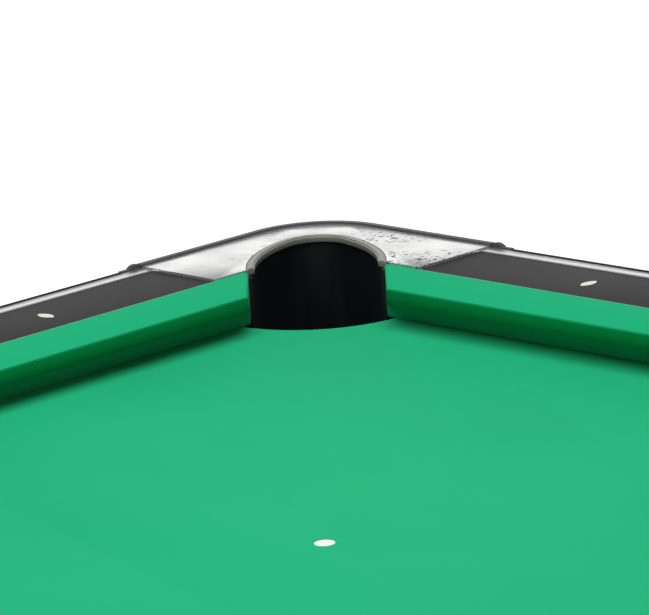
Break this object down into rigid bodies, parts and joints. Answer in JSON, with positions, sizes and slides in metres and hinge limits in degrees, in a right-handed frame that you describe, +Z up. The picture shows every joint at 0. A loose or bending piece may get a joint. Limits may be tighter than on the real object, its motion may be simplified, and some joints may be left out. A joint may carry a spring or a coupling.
{
  "type": "pool table",
  "caption": "Rectangular cloth-covered pool table with cushioned rails, cast pocket corners, ball runs under the bed and levelling feet.",
  "frame": {"origin": "on the floor under the middle of the table, with the feet screwed right in", "axes": "+X from the head end to the foot end, +Y to the left side, +Z up"},
  "size_m": [2.2932, 1.3026, 0.8094],
  "materials": {
    "slate": "honed",
    "baize": "worsted wool",
    "spot": "matt decal",
    "rail_wood": "sawn poplar",
    "cushion_rubber": "natural gum",
    "facing_rubber": "moulded",
    "feather": "planed strip",
    "laminate": "charcoal laminate",
    "trim": "bright anodised",
    "fascia": "black vinyl",
    "sight": "cream inlay",
    "casting": "polished die casting",
    "bumper": "black extrusion",
    "rim": "grey moulded",
    "liner": "black moulded",
    "fixing": "zinc plated",
    "beam": "sawn pine",
    "cabinet": "charcoal laminate on board",
    "run": "black channel",
    "ball": "polished resin",
    "pad": "black pad"
  },
  "bodies": {
    "table": {"slate_bed": "slate", "bed_cloth": "baize", "foot_spot": "spot", "rail_core_head": "rail_wood", "rail_core_foot": "rail_wood", "rail_core_left_head": "rail_wood", "rail_core_left_foot": "rail_wood", "rail_core_right_head": "rail_wood", "rail_core_right_foot": "rail_wood", "cushion_cloth_head": "baize", "cushion_cloth_foot": "baize", "cushion_cloth_left_head": "baize", "cushion_cloth_left_foot": "baize", "cushion_cloth_right_head": "baize", "cushion_cloth_right_foot": "baize", "cushion_rubbers": "cushion_rubber", "pocket_facings": "facing_rubber", "feather_strips": "feather", "rail_tops": "laminate", "edge_trims": "trim", "rail_fascias": "fascia", "sights": "sight", "rail_bolts": "fixing", "casting_left_foot": "casting", "casting_right_foot": "casting", "casting_left_head": "casting", "casting_right_head": "casting", "side_castings": "casting", "casting_bumpers": "bumper", "pocket_rims": "rim", "chute_left_foot": "liner", "chute_right_foot": "liner", "chute_left_head": "liner", "chute_right_head": "liner", "chute_left_side": "liner", "chute_right_side": "liner", "cross_beams": "beam", "cabinet_left": "cabinet", "cabinet_right": "cabinet", "cabinet_head": "cabinet", "cabinet_foot": "cabinet", "cabinet_floor": "beam", "corner_posts": "rail_wood", "ball_runs": "run", "run_hangers": "fixing", "ball_tray": "run", "return_bezel": "trim", "legs": "cabinet", "leg_shoes": "trim", "leg_plates": "fixing", "leg_bolts": "fixing"},
    "pad_left_foot": {"foot_pad_left_foot": "pad"},
    "stem_left_foot": {"foot_stem_left_foot": "fixing"},
    "pad_right_foot": {"foot_pad_right_foot": "pad"},
    "stem_right_foot": {"foot_stem_right_foot": "fixing"},
    "pad_left_head": {"foot_pad_left_head": "pad"},
    "stem_left_head": {"foot_stem_left_head": "fixing"},
    "pad_right_head": {"foot_pad_right_head": "pad"},
    "stem_right_head": {"foot_stem_right_head": "fixing"},
    "cue_ball": {"cue_ball": "ball"}
  },
  "joints": [
    {"name": "level_left_foot", "type": "slide", "parent": "table", "child": "pad_left_foot", "axis": [0, 0, 1], "range_m": [-0.025, 0]},
    {"name": "stem_turn_left_foot", "type": "hinge", "parent": "pad_left_foot", "child": "stem_left_foot", "pos_m": [1.0626, 0.5673, 0.04], "axis": [0, 0, 1], "range_deg": [-4500, 0]},
    {"name": "level_right_foot", "type": "slide", "parent": "table", "child": "pad_right_foot", "axis": [0, 0, 1], "range_m": [-0.025, 0]},
    {"name": "stem_turn_right_foot", "type": "hinge", "parent": "pad_right_foot", "child": "stem_right_foot", "pos_m": [1.0626, -0.5673, 0.04], "axis": [0, 0, 1], "range_deg": [-4500, 0]},
    {"name": "level_left_head", "type": "slide", "parent": "table", "child": "pad_left_head", "axis": [0, 0, 1], "range_m": [-0.025, 0]},
    {"name": "stem_turn_left_head", "type": "hinge", "parent": "pad_left_head", "child": "stem_left_head", "pos_m": [-1.0626, 0.5673, 0.04], "axis": [0, 0, 1], "range_deg": [-4500, 0]},
    {"name": "level_right_head", "type": "slide", "parent": "table", "child": "pad_right_head", "axis": [0, 0, 1], "range_m": [-0.025, 0]},
    {"name": "stem_turn_right_head", "type": "hinge", "parent": "pad_right_head", "child": "stem_right_head", "pos_m": [-1.0626, -0.5673, 0.04], "axis": [0, 0, 1], "range_deg": [-4500, 0]},
    {"name": "cue_ball_roll", "type": "slide", "parent": "table", "child": "cue_ball", "axis": [0, 1, 0], "range_m": [-0.49, 0.31]}
  ],
  "couplings": [
    {"joint": "stem_turn_left_foot", "follows": "level_left_foot", "rad_per_m": 3141.6},
    {"joint": "stem_turn_right_foot", "follows": "level_right_foot", "rad_per_m": 3141.6},
    {"joint": "stem_turn_left_head", "follows": "level_left_head", "rad_per_m": 3141.6},
    {"joint": "stem_turn_right_head", "follows": "level_right_head", "rad_per_m": 3141.6}
  ]
}
